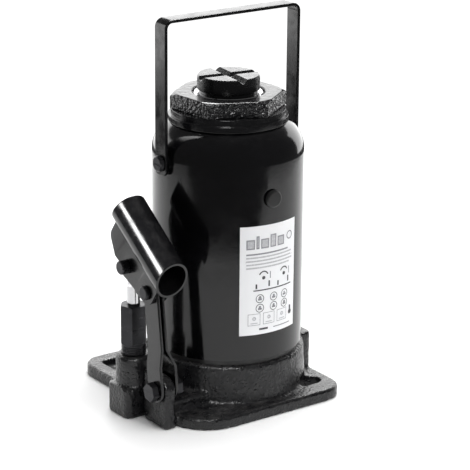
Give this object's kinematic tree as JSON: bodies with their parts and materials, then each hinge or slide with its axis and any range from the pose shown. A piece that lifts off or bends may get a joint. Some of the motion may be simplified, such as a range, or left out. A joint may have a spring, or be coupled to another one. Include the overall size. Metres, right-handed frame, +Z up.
{
  "type": "hydraulic bottle jack",
  "caption": "Upright hydraulic bottle jack with a lifting ram, lever-worked hand pump, release screw and folding carrying bail.",
  "frame": {"origin": "on the ram axis at the underside of the base", "axes": "+Z up along the ram, +X along the linkage pins and the bail's pivot line away from the pump, +Y the way the handle socket opens"},
  "size_m": [0.201, 0.195, 0.358],
  "materials": {
    "tank_enamel": "gloss black enamel",
    "base_enamel": "satin black enamel over sand-cast iron",
    "nut_enamel": "gloss black enamel over a rough casting",
    "saddle_enamel": "satin black enamel, worn on its pads",
    "linkage_enamel": "semi-gloss black enamel",
    "black_steel": "blackened steel",
    "ram_chrome": "hard chrome, ground",
    "plain_steel": "machined steel",
    "bronze": "machined bronze",
    "copper": "soft copper",
    "seal_rubber": "nitrile rubber",
    "label_paper": null
  },
  "bodies": {
    "jack": {"base_casting": "base_enamel", "reservoir_tank": "tank_enamel", "tank_seal": "seal_rubber", "neck_gasket": "seal_rubber", "neck_ring": "nut_enamel", "top_nut": "nut_enamel", "main_cylinder": "plain_steel", "cylinder_gasket": "copper", "ram_guide": "bronze", "ram_wiper": "seal_rubber", "pump_cylinder": "black_steel", "pump_gasket": "copper", "fulcrum_bolt": "black_steel", "fulcrum_nut": "black_steel", "bail_bosses": "tank_enamel", "bail_screws": "black_steel", "label": "label_paper", "delivery_spring": "plain_steel", "delivery_spring_seat": "plain_steel", "oil_strainer": "plain_steel", "overload_spring": "plain_steel", "overload_screw": "black_steel", "gallery_plug": "black_steel"},
    "ram": {"ram": "ram_chrome", "piston_head": "bronze", "piston_cup": "seal_rubber", "piston_nut": "plain_steel"},
    "saddle": {"saddle": "saddle_enamel"},
    "link": {"link_strap_outer": "linkage_enamel", "link_strap_inner": "linkage_enamel", "link_pin": "black_steel", "link_pin_clip": "black_steel"},
    "socket": {"handle_socket": "linkage_enamel", "socket_yoke_outer": "linkage_enamel", "socket_yoke_inner": "linkage_enamel", "plunger_pin": "black_steel", "plunger_pin_clip": "black_steel"},
    "plunger": {"pump_plunger": "ram_chrome", "plunger_seal": "seal_rubber"},
    "bail": {"bail_handle": "linkage_enamel"},
    "filler": {"filler_plug": "seal_rubber"},
    "release_carrier": {"release_seal": "seal_rubber"},
    "release": {"release_screw": "black_steel"},
    "release_ball": {"release_ball": "plain_steel"},
    "suction_ball": {"suction_ball": "plain_steel"},
    "delivery_ball": {"delivery_ball": "plain_steel"},
    "overload_ball": {"overload_ball": "plain_steel"}
  },
  "joints": [
    {"name": "ram_lift", "type": "slide", "parent": "jack", "child": "ram", "axis": [0, 0, 1], "range_m": [0, 0.05]},
    {"name": "saddle_swivel", "type": "hinge", "parent": "ram", "child": "saddle", "pos_m": [0, 0, 0.284], "axis": [0, 0, 1], "continuous": true},
    {"name": "link_swing", "type": "hinge", "parent": "jack", "child": "link", "pos_m": [-0.1032, -0.0445, 0.0345], "axis": [1, 0, 0], "range_deg": [-0.5, 3]},
    {"name": "handle_pump", "type": "hinge", "parent": "link", "child": "socket", "pos_m": [-0.1032, -0.03264, 0.12412], "axis": [1, 0, 0], "range_deg": [-42.5, 5]},
    {"name": "plunger_stroke", "type": "slide", "parent": "jack", "child": "plunger", "axis": [0, 0, 1], "range_m": [-0.0238, 0.003]},
    {"name": "bail_swing", "type": "hinge", "parent": "jack", "child": "bail", "pos_m": [0, 0, 0.2285], "axis": [1, 0, 0], "range_deg": [-115, 115]},
    {"name": "filler_pull", "type": "slide", "parent": "jack", "child": "filler", "axis": [0, -1, 0], "range_m": [0, 0.02]},
    {"name": "release_travel", "type": "slide", "parent": "jack", "child": "release_carrier", "axis": [0, 1, 0], "range_m": [0, 0.0019]},
    {"name": "release_turn", "type": "hinge", "parent": "release_carrier", "child": "release", "pos_m": [-0.038, 0.07, 0.022], "axis": [0, 1, 0], "range_deg": [0, 360]},
    {"name": "release_ball_lift", "type": "slide", "parent": "jack", "child": "release_ball", "axis": [0, 1, 0], "range_m": [0, 0.0019]},
    {"name": "suction_ball_lift", "type": "slide", "parent": "jack", "child": "suction_ball", "axis": [0, 0, 1], "range_m": [0, 0.0015]},
    {"name": "delivery_ball_lift", "type": "slide", "parent": "jack", "child": "delivery_ball", "axis": [1, 0, 0], "range_m": [0, 0.0006]},
    {"name": "overload_ball_lift", "type": "slide", "parent": "jack", "child": "overload_ball", "axis": [1, 0, 0], "range_m": [0, 0.0006]}
  ],
  "couplings": [
    {"joint": "link_swing", "follows": "handle_pump", "ratio": -0.05},
    {"joint": "plunger_stroke", "follows": "handle_pump", "m_per_rad": 0.0319},
    {"joint": "release_travel", "follows": "release_turn", "m_per_rad": 0.00023873},
    {"joint": "release_ball_lift", "follows": "release_turn", "m_per_rad": 0.00023873}
  ]
}
